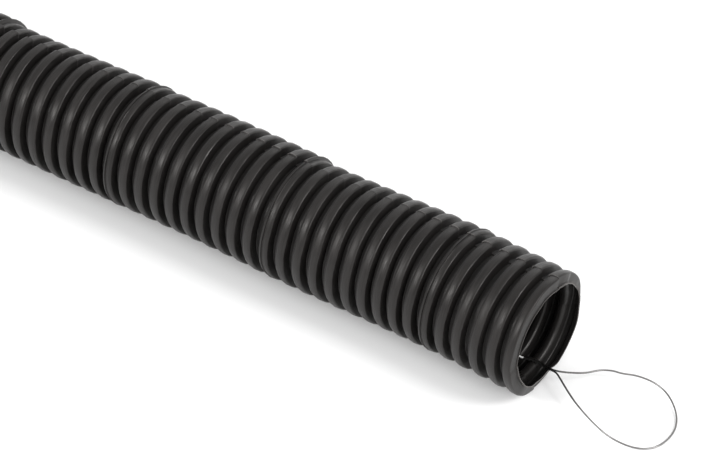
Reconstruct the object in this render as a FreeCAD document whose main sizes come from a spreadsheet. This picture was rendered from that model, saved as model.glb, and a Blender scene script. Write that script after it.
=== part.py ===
import FreeCAD, Part
import math
import os
import Sketcher

# A metre length of corrugated cable conduit, 50 mm over its waves, with the steel pull wire
# that is threaded through it and ends in a loop outside one mouth.
# The tube lies along X on the ground (Z = 0), and the looped mouth is at its +X end.
# All lengths are in millimetres.

PARTS_FOLDER = "parts"
FULL_TURN_DEGREES = 360

doc = FreeCAD.newDocument("CorrugatedConduit")

# Driving sizes
sheet = doc.addObject("Spreadsheet::Sheet", "Sizes")
DRIVING_SIZES = {
    "outside_diameter": 50.0,
    "ring_count": 133,
    "pitch": 7.5,
    "crown_width": 3.8,
    "flank_run": 0.45,
    "groove_depth": 4.15,
    "wall": 0.55,
    "end_lip": 0.15,
    "wire_diameter": 0.7,
    "wire_seat_gap": 0.15,
    "loop_rim_height": 5.9,
    "loop_reach": 52.8,
    "loop_floor_gap": 0.05,
}
for row, (alias, value) in enumerate(DRIVING_SIZES.items(), start=1):
    sheet.set(f"A{row}", alias)
    sheet.set(f"B{row}", str(value))
    sheet.setAlias(f"B{row}", alias)
doc.recompute()


def size(alias):
    """A driving size as the sheet holds it."""
    return float(sheet.get(alias))


outside_radius = size("outside_diameter") / 2
groove_radius = outside_radius - size("groove_depth")
bore_radius = groove_radius - size("wall")
half_pitch = size("pitch") / 2
half_crown = size("crown_width") / 2
groove_start = half_crown + size("flank_run")
rim_from_crown = groove_start + size("end_lip")
last_crown = (size("ring_count") - 1) * size("pitch")
tube_length = last_crown + 2 * rim_from_crown


def origin_part(body, role):
    """One of a body's own origin planes or axes."""
    return next(part for part in body.Origin.OriginFeatures if part.Role == role)


def outline(sketch, corners):
    """Draw a closed outline through the corners, each side joined to the next."""
    first = sketch.GeometryCount
    count = len(corners)
    for index, (along, out) in enumerate(corners):
        next_along, next_out = corners[(index + 1) % count]
        start = FreeCAD.Vector(along, out, 0)
        end = FreeCAD.Vector(next_along, next_out, 0)
        sketch.addGeometry(Part.LineSegment(start, end), False)
    for index in range(count):
        following = first + (index + 1) % count
        sketch.addConstraint(Sketcher.Constraint("Coincident", first + index, 2, following, 1))


def dimension(sketch, name, kind, first, second, value, formula):
    """A named dimension between two sketch points, tied to the sheet by its formula."""
    index = sketch.addConstraint(Sketcher.Constraint(kind, *first, *second, value))
    sketch.renameConstraint(index, name)
    sketch.setExpression(f"Constraints.{name}", formula)


def mirrored(sketch, left, right):
    """Keep the starts of two sides level and as far from the sketch's upright axis, its line -2."""
    sketch.addConstraint(Sketcher.Constraint("Symmetric", left, 1, right, 1, -2))


SKETCH_ORIGIN = (-1, 1)

# The tube: one wave of its wall turned about the bore, repeated along it, and cut at both ends
tube = doc.addObject("PartDesign::Body", "conduit")
tube.Label = "conduit"
tube.setExpression("Placement.Base.x", "-(Sizes.ring_count - 1) * Sizes.pitch / 2")
tube.setExpression("Placement.Base.z", "Sizes.outside_diameter / 2")

# The section of one wave runs from the middle of one groove to the middle of the next.
# Corners 0 to 5 follow the outside from left to right, and 6 to 11 the bore back again.
wave = tube.newObject("Sketcher::SketchObject", "WaveSection")
wave.AttachmentSupport = [(origin_part(tube, "XZ_Plane"), "")]
wave.MapMode = "FlatFace"
inner_half_crown = half_crown - size("wall")
land_start = groove_start - size("wall")
inner_crown_radius = outside_radius - size("wall")
outline(
    wave,
    [
        (-half_pitch, groove_radius),
        (-groove_start, groove_radius),
        (-half_crown, outside_radius),
        (half_crown, outside_radius),
        (groove_start, groove_radius),
        (half_pitch, groove_radius),
        (half_pitch, bore_radius),
        (land_start, bore_radius),
        (inner_half_crown, inner_crown_radius),
        (-inner_half_crown, inner_crown_radius),
        (-land_start, bore_radius),
        (-half_pitch, bore_radius),
    ],
)
for left, right in ((0, 5), (1, 4), (2, 3), (9, 8), (10, 7), (11, 6)):
    mirrored(wave, left, right)
wave.addConstraint(Sketcher.Constraint("Horizontal", 0))
wave.addConstraint(Sketcher.Constraint("Horizontal", 10))
wave.addConstraint(Sketcher.Constraint("Vertical", 11))
dimension(wave, "pitch", "DistanceX", (0, 1), (5, 1), size("pitch"), "Sizes.pitch")
dimension(wave, "crown", "DistanceX", (2, 1), (3, 1), size("crown_width"), "Sizes.crown_width")
dimension(wave, "flank", "DistanceX", (3, 1), (4, 1), size("flank_run"), "Sizes.flank_run")
dimension(
    wave, "crest_radius", "DistanceY", SKETCH_ORIGIN, (2, 1), outside_radius,
    "Sizes.outside_diameter / 2",
)
dimension(
    wave, "groove_depth", "DistanceY", (1, 1), (2, 1), size("groove_depth"),
    "Sizes.groove_depth",
)
dimension(wave, "groove_wall", "DistanceY", (11, 1), (0, 1), size("wall"), "Sizes.wall")
dimension(wave, "crown_wall", "DistanceY", (9, 1), (2, 1), size("wall"), "Sizes.wall")
dimension(wave, "crown_side_wall", "DistanceX", (8, 1), (3, 1), size("wall"), "Sizes.wall")
dimension(wave, "flank_wall", "DistanceX", (7, 1), (4, 1), size("wall"), "Sizes.wall")

ring = tube.newObject("PartDesign::Revolution", "Ring")
ring.Profile = wave
ring.ReferenceAxis = (wave, ["H_Axis"])
ring.Angle = FULL_TURN_DEGREES
doc.recompute()

rings = tube.newObject("PartDesign::LinearPattern", "Rings")
rings.Originals = [ring]
rings.Direction = (origin_part(tube, "X_Axis"), [""])
rings.setExpression("Length", "(Sizes.ring_count - 1) * Sizes.pitch")
rings.setExpression("Occurrences", "Sizes.ring_count")
tube.Tip = rings
doc.recompute()

# The knife runs round the foot of the last ring and leaves only a sliver of the groove wall
ends = tube.newObject("Sketcher::SketchObject", "EndCuts")
ends.AttachmentSupport = [(origin_part(tube, "XZ_Plane"), "")]
ends.MapMode = "FlatFace"
END_CUT_ROOM = 1.0
cut_low = bore_radius - END_CUT_ROOM
cut_high = outside_radius + END_CUT_ROOM
cut_out = half_pitch + END_CUT_ROOM
END_CUTS = (
    ("left", -cut_out, -rim_from_crown),
    ("right", last_crown + rim_from_crown, last_crown + cut_out),
)
for number, (side, low, high) in enumerate(END_CUTS):
    corners = [(low, cut_low), (high, cut_low), (high, cut_high), (low, cut_high)]
    outline(ends, corners)
    first = number * len(corners)
    for flat in (0, 2):
        ends.addConstraint(Sketcher.Constraint("Horizontal", first + flat))
    for upright in (1, 3):
        ends.addConstraint(Sketcher.Constraint("Vertical", first + upright))
    dimension(
        ends, f"{side}_low", "DistanceY", SKETCH_ORIGIN, (first, 1), cut_low,
        f"Sizes.outside_diameter / 2 - Sizes.groove_depth - Sizes.wall - {END_CUT_ROOM}",
    )
    dimension(
        ends, f"{side}_high", "DistanceY", SKETCH_ORIGIN, (first + 2, 1), cut_high,
        f"Sizes.outside_diameter / 2 + {END_CUT_ROOM}",
    )
RIM_FORMULA = "Sizes.crown_width / 2 + Sizes.flank_run + Sizes.end_lip"
OUT_FORMULA = f"Sizes.pitch / 2 + {END_CUT_ROOM}"
LAST_FORMULA = "(Sizes.ring_count - 1) * Sizes.pitch"
dimension(ends, "left_rim", "DistanceX", (1, 1), SKETCH_ORIGIN, rim_from_crown, RIM_FORMULA)
dimension(ends, "left_out", "DistanceX", (0, 1), SKETCH_ORIGIN, cut_out, OUT_FORMULA)
dimension(
    ends, "right_rim", "DistanceX", SKETCH_ORIGIN, (4, 1), last_crown + rim_from_crown,
    f"{LAST_FORMULA} + {RIM_FORMULA}",
)
dimension(
    ends, "right_out", "DistanceX", SKETCH_ORIGIN, (5, 1), last_crown + cut_out,
    f"{LAST_FORMULA} + {OUT_FORMULA}",
)
end_cut = tube.newObject("PartDesign::Groove", "EndCut")
end_cut.Profile = ends
end_cut.ReferenceAxis = (ends, ["H_Axis"])
end_cut.Angle = FULL_TURN_DEGREES
tube.Tip = end_cut
doc.recompute()


# The pull wire: one steel wire on the bottom of the bore, bent back on itself in a loop
# Its route starts at the cut tail beside the standing part, goes round the loop and back
# through the tube. Each point gives its distance out of the mouth and its distance across.
LOOP_ROUTE = [
    (-10.2, 4.0),
    (-5.2, 3.7),
    (2.8, 3.2),
    (11.3, 10.8),
    (14.8, 16.3),
    (25.3, 20.5),
    (33.3, 22.8),
    (42.3, 19.3),
    (49.3, 12.8),
    (52.8, 4.8),
    (51.8, -5.5),
    (45.8, -11.5),
    (35.8, -12.5),
    (26.8, -10.6),
    (18.3, -7.2),
    (10.3, -3.0),
    (3.3, 2.2),
]
BORE_ROUTE = [
    (-6.2, 2.7),
    (-15.2, 2.3),
    (-30.0, 1.0),
    (-58.0, 0.5),
    (-108.0, -1.5),
    (-166.0, -2.0),
    (-224.0, 0.5),
    (-281.0, 2.0),
    (-340.0, 2.2),
    (-397.0, 0.0),
    (-456.0, -1.8),
    (-513.0, -1.0),
    (-571.0, 1.5),
    (-628.0, 2.4),
    (-687.0, 1.0),
    (-744.0, -1.2),
    (-802.0, -2.3),
    (-860.0, -1.6),
    (-910.0, 0.4),
    (-950.0, 1.0),
]
mouth = tube_length / 2
wire_radius = size("wire_diameter") / 2
bed_radius = bore_radius - wire_radius - size("wire_seat_gap")
loop_low = wire_radius + size("loop_floor_gap")


def bore_height(across):
    """Height of the wire's centre where it lies on the bottom of the bore."""
    return outside_radius - math.sqrt(bed_radius ** 2 - across ** 2)


def loop_height(out):
    """Height of the wire's centre outside, on the slope from the rim down to the ground."""
    fall = (size("loop_rim_height") - loop_low) / size("loop_reach")
    return size("loop_rim_height") - fall * out


def route_point(out, across):
    """A point of the wire's route, from its distances out of the mouth and across."""
    height = loop_height(out) if out > 0 else bore_height(across)
    return FreeCAD.Vector(mouth + out, across, height)


ARC_SHARE = 0.45


def rounded_path(points):
    """Straight runs joined by tangent arcs, each arc as large as its two runs allow."""
    edges = []
    radii = []
    start = points[0]
    for before, corner, after in zip(points, points[1:], points[2:]):
        back = (before - corner).normalize()
        ahead = (after - corner).normalize()
        half_turn = (math.pi - back.getAngle(ahead)) / 2
        reach = ARC_SHARE * min(before.distanceToPoint(corner), after.distanceToPoint(corner))
        radius = reach / math.tan(half_turn)
        inward = (back + ahead).normalize()
        middle = corner + inward * (radius / math.cos(half_turn) - radius)
        arc_start = corner + back * reach
        arc_end = corner + ahead * reach
        edges.append(Part.LineSegment(start, arc_start).toShape())
        edges.append(Part.Arc(arc_start, middle, arc_end).toShape())
        radii.append(radius)
        start = arc_end
    edges.append(Part.LineSegment(start, points[-1]).toShape())
    return Part.Wire(edges), radii


route = [route_point(out, across) for out, across in LOOP_ROUTE + BORE_ROUTE]
path, bend_radii = rounded_path(route)
section = Part.Circle(route[0], route[1] - route[0], wire_radius)
AS_SOLID = True
FRENET = False
pull_wire = doc.addObject("Part::Feature", "pull_wire")
pull_wire.Label = "pull_wire"
pull_wire.Shape = path.makePipeShell([Part.Wire(section.toShape())], AS_SOLID, FRENET)
pull_wire.Placement = FreeCAD.Placement()
doc.recompute()

print("wire bend radii", [round(radius, 1) for radius in bend_radii])
print("wire length", round(path.Length, 1))
plain_volume = math.pi * wire_radius ** 2 * path.Length
print("wire volume over section times length", round(pull_wire.Shape.Volume / plain_volume, 5))


def hollow_cylinder(outer, inner, length):
    """Volume of a plain pipe."""
    return math.pi * (outer ** 2 - inner ** 2) * length


lip_trim = half_pitch - rim_from_crown
trimmed = hollow_cylinder(groove_radius, bore_radius, 2 * lip_trim)
expected = ring.Shape.Volume * size("ring_count") - trimmed
print("tube volume over the sum of its rings", round(tube.Shape.Volume / expected, 6))
print("tube length", round(tube.Shape.BoundBox.XLength, 2))

# Nothing is written unless every object is sound
for item in doc.Objects:
    bad = [state for state in item.State if state in ("Invalid", "Error")]
    if bad:
        raise RuntimeError(f"{item.Label} failed: {bad}")

os.makedirs(PARTS_FOLDER, exist_ok=True)
for node in (tube, pull_wire):
    shape = node.Shape
    if shape.isNull() or not shape.isValid() or len(shape.Solids) != 1:
        raise RuntimeError(f"{node.Label} has no single sound solid")
    shape.exportStep(f"{PARTS_FOLDER}/{node.Label}.step")
    print(node.Label, "volume in cubic mm", round(shape.Volume, 1))
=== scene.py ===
import math
import random

import bpy
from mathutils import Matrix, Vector, noise


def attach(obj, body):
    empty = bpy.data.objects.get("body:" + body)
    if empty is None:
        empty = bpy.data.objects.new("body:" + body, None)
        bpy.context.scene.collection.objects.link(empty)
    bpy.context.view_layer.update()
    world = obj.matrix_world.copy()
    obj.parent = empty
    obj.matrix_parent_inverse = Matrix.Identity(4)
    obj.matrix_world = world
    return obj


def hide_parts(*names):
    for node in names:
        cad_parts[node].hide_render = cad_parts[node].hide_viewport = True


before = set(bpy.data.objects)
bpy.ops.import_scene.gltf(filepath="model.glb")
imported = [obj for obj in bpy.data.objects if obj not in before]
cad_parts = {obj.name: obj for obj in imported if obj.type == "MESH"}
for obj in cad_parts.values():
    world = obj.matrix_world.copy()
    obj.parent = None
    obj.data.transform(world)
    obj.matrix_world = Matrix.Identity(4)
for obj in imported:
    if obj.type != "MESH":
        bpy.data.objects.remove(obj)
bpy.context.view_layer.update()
scene = bpy.context.scene

# The camera stands in front of the looped mouth and to its right, 1.4 m away and above it. Its
# long lens is aimed at the tube just behind the mouth, so that the tube runs out of the picture
# at the upper left.
CAMERA_PLACE = (1.0412, -0.8826, 0.9501)
CAMERA_LOOKS_DOWN = math.radians(40.24)
CAMERA_TURN = math.radians(35.65)
CAMERA_LENS = 189.46
CAMERA_SENSOR = 36.0
NEAREST_SEEN = 0.05
FARTHEST_SEEN = 30.0
camera_data = bpy.data.cameras.new("camera")
camera_data.sensor_width = CAMERA_SENSOR
camera_data.lens = CAMERA_LENS
camera_data.clip_start = NEAREST_SEEN
camera_data.clip_end = FARTHEST_SEEN
camera = bpy.data.objects.new("camera", camera_data)
camera.location = CAMERA_PLACE
camera.rotation_euler = (math.pi / 2 - CAMERA_LOOKS_DOWN, 0.0, CAMERA_TURN)
scene.collection.objects.link(camera)
scene.camera = camera
scene.view_settings.view_transform = "Standard"

# The pull wire is drawn steel wire with a thin coat of zinc, 0.7 mm thick, blown or pushed
# through the tube in the factory. Its end is bent back on itself by hand into a drop-shaped
# loop, and the cut tail goes back into the mouth over the standing part.
MM = 0.001
MOUTH = 497.5
AXIS_HEIGHT = 25.0
WIRE_DIAMETER = 0.7

# The wire's centre line: its distance from the axis on the bottom of the bore, its height over
# the floor at the rim and at the tip of the loop, and how far out the tip is
WIRE_BED_RADIUS = 19.8
LOOP_RIM_HEIGHT = 5.9
LOOP_LOW = 0.4
LOOP_REACH = 52.8

# Distance out of the mouth, distance across and height over the bed, from the cut tail round the
# loop and back: the tail crosses over the standing part at the rim
LOOP_ROUTE = [
    (-12.2, 3.5, 0.0),
    (-9.0, 4.1, 0.0),
    (-4.5, 3.3, 0.3),
    (-1.5, 2.5, 0.65),
    (1.4, 2.45, 0.65),
    (3.6, 3.9, 0.3),
    (6.6, 6.3, 0.0),
    (10.4, 9.4, 0.0),
    (13.6, 14.4, 0.0),
    (17.6, 17.3, 0.0),
    (20.8, 18.0, 0.0),
    (26.0, 21.2, 0.0),
    (33.5, 22.4, 0.0),
    (41.0, 20.2, 0.0),
    (48.9, 13.2, 0.0),
    (52.6, 4.8, 0.0),
    (51.7, -5.6, 0.0),
    (45.6, -11.4, 0.0),
    (35.8, -12.8, 0.0),
    (26.8, -10.6, 0.0),
    (16.0, -6.2, 0.0),
    (9.0, -2.1, 0.0),
    (3.4, 1.5, 0.0),
    (1.4, 2.45, 0.0),
    (-1.5, 2.65, 0.0),
]
# From there the wire wavers along the bottom of the bore to its bare far end
BORE_ROUTE = [
    (-4.5, 2.9, 0.0),
    (-9.0, 3.3, 0.0),
    (-13.0, 2.3, 0.0),
    (-18.0, 2.2, 0.0),
    (-30.0, 1.0, 0.0),
    (-58.0, 0.5, 0.0),
    (-108.0, -1.5, 0.0),
    (-166.0, -2.0, 0.0),
    (-224.0, 0.5, 0.0),
    (-281.0, 2.0, 0.0),
    (-340.0, 2.2, 0.0),
    (-397.0, 0.0, 0.0),
    (-456.0, -1.8, 0.0),
    (-513.0, -1.0, 0.0),
    (-571.0, 1.5, 0.0),
    (-628.0, 2.4, 0.0),
    (-687.0, 1.0, 0.0),
    (-744.0, -1.2, 0.0),
    (-802.0, -2.3, 0.0),
    (-860.0, -1.6, 0.0),
    (-910.0, 0.4, 0.0),
    (-950.0, 1.0, 0.0),
]


def wire_point(out, across, lift):
    """A point of the wire's route: on the bottom of the bore inside, sloping to the floor outside."""
    if out > 0:
        height = LOOP_RIM_HEIGHT - (LOOP_RIM_HEIGHT - LOOP_LOW) / LOOP_REACH * out
    else:
        height = AXIS_HEIGHT - math.sqrt(WIRE_BED_RADIUS**2 - across**2)
    return (MM * (MOUTH + out), MM * across, MM * (height + lift))


wire_curve = bpy.data.curves.new("pull_wire_steel", "CURVE")
wire_curve.dimensions = "3D"
wire_curve.bevel_depth = MM * WIRE_DIAMETER / 2
wire_curve.bevel_resolution = 3
wire_curve.resolution_u = 14
wire_curve.use_fill_caps = True
wire_line = wire_curve.splines.new("NURBS")
wire_route = [wire_point(*place) for place in LOOP_ROUTE + BORE_ROUTE]
wire_line.points.add(len(wire_route) - 1)
for control, place in zip(wire_line.points, wire_route):
    control.co = (*place, 1.0)
wire_line.order_u = 3
wire_line.use_endpoint_u = True
pull_wire = bpy.data.objects.new("pull_wire_steel", wire_curve)
scene.collection.objects.link(pull_wire)

# The wire is black where it rubs on the rim, and turns clean over two stretches, one outside the mouth and
# one inside. From a third one, further in, on to its far end, it is painted whitish and not metallic: a
# painted glint. Each stretch is two distances out of the mouth.
SMEARED_TONE = (0.05, 0.048, 0.047, 1.0)
CLEAN_TONE = (0.25, 0.243, 0.24, 1.0)
PAINTED_GLINT_TONE = (0.86, 0.86, 0.86, 1.0)
CLEAN_OUTSIDE = (4.0, 20.0)
CLEAN_INSIDE = (-2.0, -7.0)
PAINTED_GLINT_INSIDE = (-12.7, -13.2)
CLEAN_WEIGHT = 0.7
PATCH_WEIGHT = 0.3
WIRE_PATCH_SCALE = 260.0
WIRE_ROUGHNESS = (0.22, 0.42)
WIRE_GRAIN_SCALE = 2400.0
WIRE_GRAIN_DEPTH = 0.03
WIRE_GRAIN_STRENGTH = 0.25


def fill(socket, value):
    """Give a socket its value: a number, a colour, or another node's output to link it to."""
    if isinstance(value, bpy.types.NodeSocket):
        socket.id_data.links.new(value, socket)
    else:
        socket.default_value = value


def fill_named(node, **values):
    """Fill sockets of a node by name, with an underscore for each space of the name."""
    for name, value in values.items():
        fill(node.inputs[name.replace("_", " ")], value)


def new_node(tree, kind, **values):
    """One node of a material, with some of its sockets filled."""
    node = tree.nodes.new(kind)
    fill_named(node, **values)
    return node


def new_finish(name):
    """A new material, with its node tree and its surface shader."""
    material = bpy.data.materials.new(name)
    material.use_nodes = True
    tree = material.node_tree
    return material, tree, tree.nodes["Principled BSDF"]


def math_node(tree, operation, *values):
    """One step of arithmetic with one or two values, each a number or another node's output."""
    node = tree.nodes.new("ShaderNodeMath")
    node.operation = operation
    for socket, value in zip(node.inputs, values):
        fill(socket, value)
    return node.outputs[0]


def sum_of_products(tree, first, first_factor, second, second_factor):
    """The sum of two values, each times its own factor."""
    first_product = math_node(tree, "MULTIPLY", first, first_factor)
    second_product = math_node(tree, "MULTIPLY", second, second_factor)
    return math_node(tree, "ADD", first_product, second_product)


def ranged(tree, value, start, end, low=0.0, high=1.0):
    """Low where the value is at the start of its range, high at the end, and level beyond both."""
    node = new_node(
        tree, "ShaderNodeMapRange", Value=value, From_Min=start, From_Max=end, To_Min=low, To_Max=high
    )
    return node.outputs["Result"]


def spots(tree, place, scale, detail, roughness=0.5):
    """Soft random spots from 0 to 1, the finer the larger their scale."""
    node = new_node(
        tree, "ShaderNodeTexNoise", Vector=place, Scale=scale, Detail=detail, Roughness=roughness
    )
    return node.outputs["Fac"]


def tone_between(tree, share, low_tone, high_tone):
    """A colour between two tones. The colour sockets are taken by number, as their names repeat."""
    mix = tree.nodes.new("ShaderNodeMix")
    mix.data_type = "RGBA"
    for number, value in ((0, share), (6, low_tone), (7, high_tone)):
        fill(mix.inputs[number], value)
    return mix.outputs[2]


def rough_skin(tree, height, strength, depth):
    """The slope of a fine raised grain, whose depth is in millimetres."""
    bump = new_node(tree, "ShaderNodeBump", Height=height, Strength=strength, Distance=MM * depth)
    return bump.outputs["Normal"]


def drawn_steel(name):
    """Zinc-coated wire with smears of black, clean stretches, and a whitish painted glint along its length
    inside the tube.
    """
    finish, tree, shader = new_finish(name)
    place = new_node(tree, "ShaderNodeTexCoord").outputs["Object"]
    along = new_node(tree, "ShaderNodeSeparateXYZ", Vector=place).outputs["X"]
    clean_outside, clean_inside, painted_glint = (
        ranged(tree, along, MM * (MOUTH + start), MM * (MOUTH + end))
        for start, end in (CLEAN_OUTSIDE, CLEAN_INSIDE, PAINTED_GLINT_INSIDE)
    )
    patches = spots(tree, place, WIRE_PATCH_SCALE, detail=3.0, roughness=0.6)
    clean = math_node(tree, "ADD", clean_outside, clean_inside)
    cleanness = sum_of_products(tree, clean, CLEAN_WEIGHT, patches, PATCH_WEIGHT)
    steel_tone = tone_between(tree, cleanness, SMEARED_TONE, CLEAN_TONE)
    grain = spots(tree, place, WIRE_GRAIN_SCALE, detail=2.0)
    # The whitish painted glint also takes the metal away from the wire
    fill_named(
        shader,
        Base_Color=tone_between(tree, painted_glint, steel_tone, PAINTED_GLINT_TONE),
        Metallic=math_node(tree, "SUBTRACT", 1.0, painted_glint),
        Roughness=ranged(tree, patches, 0.0, 1.0, *WIRE_ROUGHNESS),
        Normal=rough_skin(tree, grain, WIRE_GRAIN_STRENGTH, WIRE_GRAIN_DEPTH),
    )
    return finish


wire_curve.materials.append(drawn_steel("drawn_steel_wire"))

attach(pull_wire, "root")
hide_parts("pull_wire")

# The conduit is one tube of black polyethylene, blown against two rows of metal mould blocks that
# meet along its top and bottom. Each block shapes ten waves and sits a little out of true, which
# leaves steps and thin lines of flash. Both ends are cut with a knife in a groove.
RING_COUNT = 133
PITCH = 7.5
CUT_PAST_CREST = 2.5
FIRST_RING = MOUTH - CUT_PAST_CREST
BORE_RADIUS = 20.30
FAR_CUT_RADIUS = 20.90
FLOOR_CLEARANCE = 0.02

# The first rings of the first block were cut away with the knife
RINGS_IN_A_BLOCK = 10
RINGS_CUT_AWAY = 5

# The outside is a little uneven, in soft spots that change from wave to wave and round each wave
UNEVENNESS = 0.05
UNEVEN_BY_RING = 0.9
UNEVEN_ROUND = 1.5

# Angles are in degrees, from the far side, away from the camera (0), over the top (90) to the near
# side (180)
TOP_SEAM = 76.5
FACES_CAMERA = 133.7
SEAM_WIDTH = 0.6
FLASH_HEIGHT = 0.10
FLASH_FROM_RADIUS = 24.6

# The rear block's step dies out down the back, between these angles past the top seam
STEP_FADES_FROM = 60
STEP_FADES_TO = 140

# Small raised bars run a little down the back from the top seam, in the grooves of the first block
BAR_SPAN = 8.0
BAR_HEIGHT = 0.14
BAR_TO_RADIUS = 21.2

# The wall has more columns at the cut mouth, and its bore is shown in full at both ends
COLUMNS_IN_A_HALF = 21
FINE_SHARE = 4
DETAILED_BORE_RINGS = 6

# Outside of one wave, as distance from the middle of its crest (towards the looped mouth) and
# distance from the axis. A small shelf runs along the rear edge of the crest.
WAVE_OUTSIDE = [
    (-2.75, 20.86),
    (-2.54, 21.15),
    (-2.48, 23.98),
    (-2.12, 24.05),
    (-1.98, 24.38),
    (-1.50, 24.72),
    (-0.80, 24.95),
    (0.60, 24.98),
    (1.35, 24.80),
    (1.70, 24.62),
    (1.90, 24.25),
    (2.08, 21.15),
    (2.35, 20.86),
]
# The wave where two blocks meet end to end has no shelf, and two beads of flash on its crest
JOINT_LINE = -0.70
FIRST_BEAD = [(-1.22, 24.78), (-1.06, 25.04), (-0.90, 24.80)]
SECOND_BEAD = [(-0.66, 24.84), (-0.50, 25.10), (-0.34, 24.90)]
JOINT_OUTSIDE = [
    *WAVE_OUTSIDE[:3],
    (-2.34, 24.40),
    (-1.70, 24.76),
    *FIRST_BEAD,
    *SECOND_BEAD,
    *WAVE_OUTSIDE[7:],
]
# Inside of one wave, and a plainer one for the middle of the tube, where nobody can look
WAVE_INSIDE = [
    (-3.05, 20.38),
    (-2.50, 20.70),
    (-2.08, 21.25),
    (-1.84, 22.00),
    (-1.60, 23.90),
    (-1.15, 24.36),
    (1.05, 24.36),
    (1.45, 23.90),
    (1.70, 22.00),
    (1.94, 21.30),
    (2.35, 20.74),
    (2.90, 20.42),
    (3.45, BORE_RADIUS),
]
PLAIN_INSIDE = [(-1.80, BORE_RADIUS), (0.00, 24.00), (1.80, BORE_RADIUS)]

# How the length lies, as stops of ring number and millimetres: its bow to the side, how far each
# wave stands towards the mouth, and how much further it does so a quarter turn below the side that
# faces the camera
BOW = [
    (-2, -0.8), (6, 1.1), (14, 0.0), (20, 0.5), (32, -0.9), (55, 0.6), (80, -0.5), (108, 0.6), (134, -0.2),
]
DRIFT = [
    (-2, 0.55), (1, 0.05), (4, -0.85), (6, -0.98), (10, 0.26), (13, 0.6), (15, 0.4), (16.5, -0.34),
    (20, -0.6), (24, -0.78), (28, -0.78), (33, -1.4), (60, 0.0), (134, 0.0),
]
TILT = [
    (-2, -0.1), (0.5, -0.15), (3, -0.82), (5, -0.48), (7.5, 0.65), (10, 1.0), (14, 0.7), (17, 0.06),
    (19, 0.1), (22, 0.48), (24.5, 0.6), (26, 1.3), (29, 1.38), (32, 0.87), (60, 0.0), (134, 0.0),
]
# The far lower side of the first waves leans back from the mouth, and so does the near lower side
# of the first 60: stops of degrees and millimetres, then of ring number and share
FAR_LEAN = [
    (0, 1.35), (7, 1.1), (37, 0.0), (221, 0.0), (260, 1.4), (282, 2.0), (327, 2.1), (347, 1.95),
    (360, 1.35),
]
FAR_LEANING = [(0, 1.0), (3, 1.0), (10, 0.0), (134, 0.0)]
NEAR_LEAN = [(0, 0.0), (155, 0.0), (175, 0.4), (200, 0.85), (256, 0.9), (300, 0.0), (360, 0.0)]
NEAR_LEANING = [(0, 0.6), (6, 0.6), (11, 1.3), (15, 1.3), (17, 0.8), (33, 0.8), (60, 0.0), (134, 0.0)]

# Each rear mould block sits a little high or low, and a little to one side, of its front one: its
# height over the front one at its first and its last wave, and its shift along the tube. The first
# four are as the photograph shows them, and the others are left to chance.
REAR_BLOCKS = [(0.4, 0.4, -0.6), (0.6, -0.4, 0.0), (0.7, 0.0, -0.1), (0.45, -0.9, 0.0)]
BLOCK_HEIGHT = (0.2, 0.6)
BLOCK_DROP = (0.3, 0.9)
BLOCK_SHIFT = (0.1, 0.5)
BLOCK_SEED = 50
block_chance = random.Random(BLOCK_SEED)
for _ in range(RING_COUNT // RINGS_IN_A_BLOCK):
    high = block_chance.uniform(*BLOCK_HEIGHT)
    low = high - block_chance.uniform(*BLOCK_DROP)
    REAR_BLOCKS.append((high, low, -block_chance.uniform(*BLOCK_SHIFT)))


def between(stops, at):
    """The value at a place between stops, eased from each to the next."""
    for (start, low), (end, high) in zip(stops, stops[1:]):
        if at <= end:
            share = max(0.0, (at - start) / (end - start))
            return low + (high - low) * share * share * (3 - 2 * share)
    return stops[-1][1]


def lean(ring, angle):
    """How far one wave stands towards the mouth at an angle, on both faces of the wall."""
    tilt = between(TILT, ring) * math.sin(math.radians(angle - FACES_CAMERA))
    far = between(FAR_LEAN, angle % 360) * between(FAR_LEANING, ring)
    near = between(NEAR_LEAN, angle % 360) * between(NEAR_LEANING, ring)
    return between(DRIFT, ring) + tilt - far - near


def rear_share(angle):
    """0 on the front half of the mould, 1 on the rear half, and how near the seam is, 0 to 1."""
    turn = (angle - TOP_SEAM) % 360
    if turn < 90:
        off = turn
    elif turn < 270:
        off = 180 - turn
    else:
        off = turn - 360
    share = min(1.0, max(0.0, 0.5 - off / SEAM_WIDTH))
    return share, max(0.0, 1 - abs(off) * 2 / SEAM_WIDTH)


def wall_point(ring, step, radius, angle, block):
    """A point of the wall in metres, on the bowed axis, where its wave and its block put it."""
    _, _, shift = REAR_BLOCKS[block]
    rear, _ = rear_share(angle)
    along = FIRST_RING - PITCH * ring + step + lean(ring, angle) + shift * rear
    bow = between(BOW, (FIRST_RING - along) / PITCH)
    turned = math.radians(angle)
    height = AXIS_HEIGHT + radius * math.sin(turned)
    return Vector((along, bow + radius * math.cos(turned), max(height, FLOOR_CLEARANCE))) * MM


def outside_point(ring, step, radius, angle):
    """A point of the outside of one wave, with the steps, bars and flash of its mould blocks."""
    block, place_in_block = divmod(ring + RINGS_CUT_AWAY, RINGS_IN_A_BLOCK)
    if place_in_block == 0 and step > JOINT_LINE and block > 0:
        block -= 1
        place_in_block = RINGS_IN_A_BLOCK
    first_lift, last_lift, _ = REAR_BLOCKS[block]
    rear, seam = rear_share(angle)
    down_the_back = (TOP_SEAM - angle) % 360
    reach = (STEP_FADES_TO - down_the_back) / (STEP_FADES_TO - STEP_FADES_FROM)
    reach = min(1.0, max(0.0, reach))
    lift = (first_lift + (last_lift - first_lift) * place_in_block / RINGS_IN_A_BLOCK) * reach * rear
    if block == 0 and radius < BAR_TO_RADIUS and down_the_back < BAR_SPAN and ring > 0:
        lift += BAR_HEIGHT * rear * (1 - down_the_back / BAR_SPAN) ** 0.5
    flash = FLASH_HEIGHT * seam if radius > FLASH_FROM_RADIUS else 0.0
    turned = math.radians(angle)
    spot = (UNEVEN_BY_RING * ring, UNEVEN_ROUND * math.cos(turned), UNEVEN_ROUND * math.sin(turned))
    uneven = UNEVENNESS * noise.noise(Vector(spot))
    return wall_point(ring, step, radius + lift + flash + uneven, angle, block)


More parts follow.
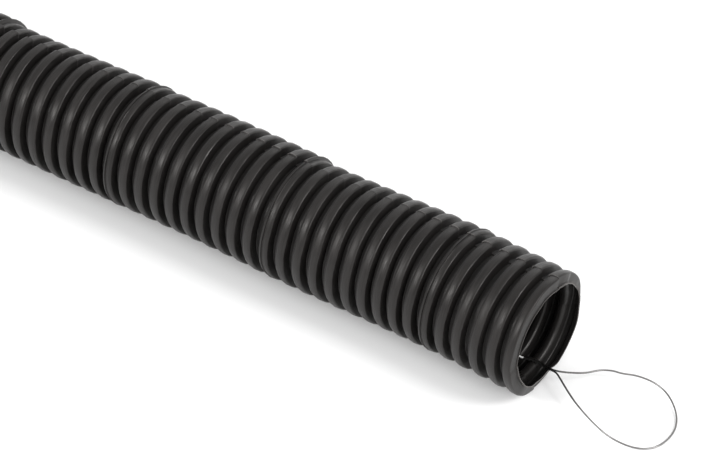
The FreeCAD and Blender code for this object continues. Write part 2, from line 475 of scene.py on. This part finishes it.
def inside_point(ring, step, radius, angle):
    """A point of the inside of one wave, which follows the outside but not its steps."""
    return wall_point(ring, step, radius, angle, (ring + RINGS_CUT_AWAY) // RINGS_IN_A_BLOCK)


def column_angles():
    """Degrees of the wall's columns: one in each seam, and an even row on each half."""
    angles = []
    edge = SEAM_WIDTH / 2
    span = 180 - SEAM_WIDTH
    for seam in (TOP_SEAM, TOP_SEAM + 180):
        angles.append(seam)
        for index in range(COLUMNS_IN_A_HALF):
            angles.append(seam + edge + span * index / (COLUMNS_IN_A_HALF - 1))
    return angles


def finer(angles, share):
    """The same columns, with each space between them divided in equal parts."""
    result = []
    for angle, following in zip(angles, angles[1:] + [angles[0] + 360]):
        result.extend(angle + (following - angle) * part / share for part in range(share))
    return result


COLUMNS = column_angles()
FINE_COLUMNS = finer(COLUMNS, FINE_SHARE)
COARSE_COLUMNS = COLUMNS[::2]

# The knife's cut round the near mouth: degrees and distance in front of the even mouth
KNIFE_CUT = [
    (57, -0.5), (69, -0.15), (82, 0.1), (91, -0.1), (100, -0.2), (111, 0.0), (128, -0.25),
    (144, -0.35), (160, -0.45), (181, -0.9), (185, -0.45), (195, -0.25), (211, 0.4), (235, -0.4),
    (258, -1.5), (283, -1.9), (312, -2.1), (335, -1.9), (354, -2.4), (368, -2.4), (377, -1.9),
    (391, -1.4), (411, -1.1), (417, -0.5),
]
# On the far side the knife strayed into the end wave and left its crest cut open: degrees and
# share, and the distances from the axis at which the open crest ends outside and inside
OPEN_CREST = [
    (57, 0.1), (75, 0.0), (278, 0.0), (298, 0.9), (312, 1.0), (360, 1.0), (392, 0.35), (417, 0.1),
]
OPEN_OUTSIDE = 24.2
OPEN_INSIDE = 23.65
# Where the cut leaves less than the least lip in front of the end wave, the wave is squeezed, from
# this distance past the middle of its crest on
SQUEEZED_FROM = 1.0
LEAST_LIP = 0.15
LIP_ROWS = 3
# The knife raised a thin burr round the inner edge. Its pale colour is a painted highlight, left off on
# the far side, where the burr keeps the colour of the cut.
BURR_WIDTH = 0.22
BURR_HEIGHT = 0.10
BURR_HIGHLIGHT_FROM = 25.0
BURR_HIGHLIGHT_TO = 285.0


def round_the_cut(stops, angle):
    """The value at an angle of stops that go once round the mouth."""
    start = stops[0][0]
    return between(stops, (angle - start) % 360 + start)


def knife_step(angle):
    """Where the knife went at an angle, from the middle of the end wave's crest as it stands."""
    _, _, shift = REAR_BLOCKS[0]
    rear, _ = rear_share(angle)
    return MOUTH + round_the_cut(KNIFE_CUT, angle) - FIRST_RING - lean(0, angle) - shift * rear


def cut_short(profile, limit, open_radius, opened):
    """The end wave's profile, squeezed or opened where the knife strayed into it, up to the cut."""
    last, lip_radius = profile[-1]
    lip_radius += max(0.0, open_radius - lip_radius) * opened
    wave_end = min(last, limit - LEAST_LIP)
    squeeze = (wave_end - SQUEEZED_FROM) / (last - SQUEEZED_FROM)
    kept = []
    for step, radius in profile:
        if step > 0:
            radius += max(0.0, open_radius - radius) * opened
        if step > SQUEEZED_FROM:
            step = SQUEEZED_FROM + (step - SQUEEZED_FROM) * squeeze
        kept.append((step, radius))
    for row in range(1, LIP_ROWS + 1):
        kept.append((wave_end + (limit - wave_end) * row / LIP_ROWS, lip_radius))
    return kept


def end_rows(profile, open_radius):
    """The end wave's rows round the mouth, from behind its crest to the cut."""
    profiles = [
        cut_short(profile, knife_step(angle), open_radius, round_the_cut(OPEN_CREST, angle))
        for angle in FINE_COLUMNS
    ]
    return list(zip(*profiles))


vertices = []
loops = []
faces = []


def add_loop(points):
    """Add one loop of points round the wall."""
    first = len(vertices)
    vertices.extend(points)
    loops.append(range(first, len(vertices)))


def join_loops(loop, following):
    """Faces between two loops, where one may have several columns to each of the other's."""
    if len(loop) >= len(following):
        fine, coarse, turned = loop, following, False
    else:
        fine, coarse, turned = following, loop, True
    share = len(fine) // len(coarse)
    for index in range(len(coarse)):
        edge = [fine[(index * share + part) % len(fine)] for part in range(share + 1)]
        face = edge + [coarse[(index + 1) % len(coarse)], coarse[index]]
        faces.append(face if turned else face[::-1])


# The loops go along the outside from the near mouth to the far cut, and back along the bore to
# the burr
for row in reversed(end_rows(WAVE_OUTSIDE, OPEN_OUTSIDE)):
    add_loop(outside_point(0, *place, angle) for place, angle in zip(row, FINE_COLUMNS))
for ring in range(1, RING_COUNT):
    at_joint = (ring + RINGS_CUT_AWAY) % RINGS_IN_A_BLOCK == 0
    profile = JOINT_OUTSIDE if at_joint else WAVE_OUTSIDE
    if ring == RING_COUNT - 1:
        profile = [(-CUT_PAST_CREST, FAR_CUT_RADIUS)] + profile[1:]
    for step, radius in reversed(profile):
        add_loop(outside_point(ring, step, radius, angle) for angle in COLUMNS)
far_cut = len(loops) - 1
for ring in reversed(range(1, RING_COUNT)):
    detailed = ring <= DETAILED_BORE_RINGS or ring >= RING_COUNT - DETAILED_BORE_RINGS
    profile = WAVE_INSIDE if detailed else PLAIN_INSIDE
    if ring == RING_COUNT - 1:
        profile = [(-CUT_PAST_CREST, BORE_RADIUS)] + profile[2:]
    columns = COLUMNS if detailed else COARSE_COLUMNS
    for step, radius in profile:
        add_loop(inside_point(ring, step, radius, angle) for angle in columns)
mouth_rows = end_rows([(-PITCH / 2, BORE_RADIUS)] + WAVE_INSIDE, OPEN_INSIDE)
for row in mouth_rows:
    add_loop(inside_point(0, *place, angle) for place, angle in zip(row, FINE_COLUMNS))
burr = len(loops) - 1
add_loop(
    inside_point(0, step + BURR_HEIGHT, radius + BURR_WIDTH, angle)
    for (step, radius), angle in zip(mouth_rows[-1], FINE_COLUMNS)
)
near_cut = len(loops) - 1

# Each face has the finish of its place on the tube, with flash in the last column before each seam, whose
# lighter colour is a painted highlight
MOULDED, BORE, CUT, BURR_PAINTED_HIGHLIGHT, FLASH_PAINTED_HIGHLIGHT = range(5)
SEAM_COLUMNS = (COLUMNS_IN_A_HALF, 2 * COLUMNS_IN_A_HALF + 1)
finishes = []
for number, (loop, following) in enumerate(zip(loops, loops[1:] + loops[:1])):
    before = len(faces)
    join_loops(loop, following)
    added = len(faces) - before
    if number < far_cut:
        columns = [index * len(COLUMNS) // added for index in range(added)]
        finishes.extend(FLASH_PAINTED_HIGHLIGHT if column in SEAM_COLUMNS else MOULDED for column in columns)
    elif number in (far_cut, near_cut):
        finishes.extend([CUT] * added)
    elif number == burr:
        finishes.extend(
            BURR_PAINTED_HIGHLIGHT if BURR_HIGHLIGHT_FROM < angle % 360 < BURR_HIGHLIGHT_TO else CUT for angle in FINE_COLUMNS
        )
    else:
        finishes.extend([BORE] * added)

SHARP_EDGE = math.radians(50)
conduit_mesh = bpy.data.meshes.new("conduit_tube")
conduit_mesh.from_pydata(vertices, [], faces)
conduit_mesh.polygons.foreach_set("material_index", finishes)
conduit_mesh.shade_smooth()
conduit_mesh.set_sharp_from_angle(angle=SHARP_EDGE)
conduit = bpy.data.objects.new("conduit_tube", conduit_mesh)
scene.collection.objects.link(conduit)
even_shade = conduit.modifiers.new("even_shade", "WEIGHTED_NORMAL")
even_shade.keep_sharp = True

# The plastic's colour is darkest in the grooves and lightest on the crests: painted shade and painted
# light, which go by the distance from the axis. Its drag marks run round the tube, over wide patches and a
# fine grain.
PLASTIC_IOR = 1.50
GLINT_TONE = (1.0, 0.965, 0.945, 1.0)
PAINTED_SHADE_TO_RADIUS = 20.8
PAINTED_LIGHT_FROM_RADIUS = 24.9
DRAG_SCALE_ALONG = 2200.0
DRAG_SCALE_ROUND = 1.3
PATCH_SCALE = 70.0
GRAIN_SCALE = 2600.0
DRAG_DEPTH_TO_GRAIN = 4.5
SKIN_DEPTH = 0.04
SKIN_STRENGTH = 0.6

# The stretches of the marks and patches over which the tone and the roughness change
TONE_RANGE = (0.15, 0.38)
GLOSS_RANGE = (0.40, 0.60)


def black_plastic(name, low_tone, high_tone, roughness, shine):
    """Black polyethylene as the mould leaves it, with drag marks round the tube, a fine grain, and painted
    shade that darkens it nearer the axis.
    """
    finish, tree, shader = new_finish(name)
    place = new_node(tree, "ShaderNodeTexCoord").outputs["Object"]
    along, side, height = new_node(tree, "ShaderNodeSeparateXYZ", Vector=place).outputs
    rise = math_node(tree, "SUBTRACT", height, MM * AXIS_HEIGHT)
    from_axis = math_node(tree, "SQRT", sum_of_products(tree, side, side, rise, rise))
    # Painted shade and light: the colour darkens towards the axis, into the grooves, and lightens on the
    # crests
    painted_shade_and_light = ranged(tree, from_axis, MM * PAINTED_SHADE_TO_RADIUS, MM * PAINTED_LIGHT_FROM_RADIUS)
    turn = math_node(tree, "ARCTAN2", rise, side)
    drag_place = new_node(
        tree,
        "ShaderNodeCombineXYZ",
        X=math_node(tree, "MULTIPLY", along, DRAG_SCALE_ALONG),
        Y=math_node(tree, "MULTIPLY", turn, DRAG_SCALE_ROUND),
    ).outputs["Vector"]
    drag_marks = spots(tree, drag_place, scale=1.0, detail=2.0, roughness=0.6)
    patches = spots(tree, place, PATCH_SCALE, detail=4.0, roughness=0.6)
    grain = spots(tree, place, GRAIN_SCALE, detail=2.0)
    patchy = ranged(tree, math_node(tree, "MULTIPLY", patches, drag_marks), *TONE_RANGE)
    tone_share = math_node(tree, "MULTIPLY", painted_shade_and_light, patchy)
    mean_mark = sum_of_products(tree, patches, 0.5, drag_marks, 0.5)
    skin_height = sum_of_products(tree, grain, 1.0, drag_marks, DRAG_DEPTH_TO_GRAIN)
    fill_named(
        shader,
        Base_Color=tone_between(tree, tone_share, low_tone, high_tone),
        Roughness=ranged(tree, mean_mark, *GLOSS_RANGE, *roughness),
        IOR=PLASTIC_IOR,
        Specular_IOR_Level=shine,
        Specular_Tint=GLINT_TONE,
        Normal=rough_skin(tree, skin_height, SKIN_STRENGTH, SKIN_DEPTH),
    )
    return finish


# One finish for each number that the faces have, in the same order
conduit_finishes = [
    black_plastic(
        "moulded_black_plastic",
        low_tone=(0.0088, 0.0081, 0.0077, 1.0),
        high_tone=(0.0158, 0.0145, 0.0139, 1.0),
        roughness=(0.29, 0.48),
        shine=0.27,
    ),
    black_plastic(
        "shiny_black_bore",
        low_tone=(0.0080, 0.0074, 0.0071, 1.0),
        high_tone=(0.0100, 0.0094, 0.0091, 1.0),
        roughness=(0.27, 0.42),
        shine=0.25,
    ),
    black_plastic(
        "knife_cut_plastic",
        low_tone=(0.0240, 0.0205, 0.0190, 1.0),
        high_tone=(0.0400, 0.0350, 0.0320, 1.0),
        roughness=(0.45, 0.60),
        shine=0.40,
    ),
    # The burr's pale colour is a painted highlight
    black_plastic(
        "pale_burr_painted_highlight",
        low_tone=(0.1300, 0.1240, 0.1200, 1.0),
        high_tone=(0.2400, 0.2320, 0.2260, 1.0),
        roughness=(0.45, 0.60),
        shine=0.40,
    ),
    # The flash's light colour is a painted highlight
    black_plastic(
        "seam_flash_painted_highlight",
        low_tone=(0.0300, 0.0280, 0.0270, 1.0),
        high_tone=(0.1200, 0.1140, 0.1100, 1.0),
        roughness=(0.40, 0.55),
        shine=0.50,
    ),
]
for conduit_finish in conduit_finishes:
    conduit_mesh.materials.append(conduit_finish)

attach(conduit, "root")
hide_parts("conduit")

# The floor is a plain pale tabletop, and the light is that of a small studio: a white room with
# four soft boxes, one high on the left in front of the tube, two beyond the looped mouth, and a
# weak one behind the tube.
FLOOR_SIZE = 6.0
FLOOR_TONES = ((0.86, 0.86, 0.86, 1.0), (0.90, 0.90, 0.90, 1.0))
FLOOR_PATCH_SCALE = 3.0
FLOOR_ROUGHNESS = 0.7
reach = FLOOR_SIZE / 2
floor_mesh = bpy.data.meshes.new("floor")
floor_corners = [(-reach, -reach, 0), (reach, -reach, 0), (reach, reach, 0), (-reach, reach, 0)]
floor_mesh.from_pydata(floor_corners, [], [(0, 1, 2, 3)])
floor = bpy.data.objects.new("floor", floor_mesh)
scene.collection.objects.link(floor)
floor_finish, floor_tree, floor_shader = new_finish("pale_tabletop")
floor_place = new_node(floor_tree, "ShaderNodeTexCoord").outputs["Object"]
floor_patches = spots(floor_tree, floor_place, FLOOR_PATCH_SCALE, detail=3.0)
fill_named(
    floor_shader,
    Base_Color=tone_between(floor_tree, floor_patches, *FLOOR_TONES),
    Roughness=FLOOR_ROUGHNESS,
)
floor_mesh.materials.append(floor_finish)

ROOM_LIGHT = 0.85
world = bpy.data.worlds.new("white_room")
world.use_nodes = True
room = world.node_tree.nodes["Background"]
fill_named(room, Color=(1.0, 1.0, 1.0, 1.0), Strength=ROOM_LIGHT)
scene.world = world

# Each soft box has a direction from the place it is turned to, a distance, a width and a power
LIGHT_TARGET = Vector((0.38, 0.0, 0.03))
SOFT_BOXES = [
    ("key_box", (-0.405, -0.720, 0.566), 2.2, 0.6, 23.0),
    ("end_box", (0.78, 0.10, 0.61), 2.2, 0.7, 26.0),
    ("side_box", (0.80, -0.33, 0.47), 2.4, 0.7, 18.0),
    ("back_box", (-0.20, 0.88, 0.42), 2.4, 1.4, 9.0),
]
for name, direction, distance, width, power in SOFT_BOXES:
    lamp_data = bpy.data.lights.new(name, "AREA")
    lamp_data.shape = "SQUARE"
    lamp_data.size = width
    lamp_data.energy = power
    lamp = bpy.data.objects.new(name, lamp_data)
    toward = Vector(direction).normalized()
    lamp.location = LIGHT_TARGET + toward * distance
    lamp.rotation_euler = toward.to_track_quat("Z", "Y").to_euler()
    scene.collection.objects.link(lamp)
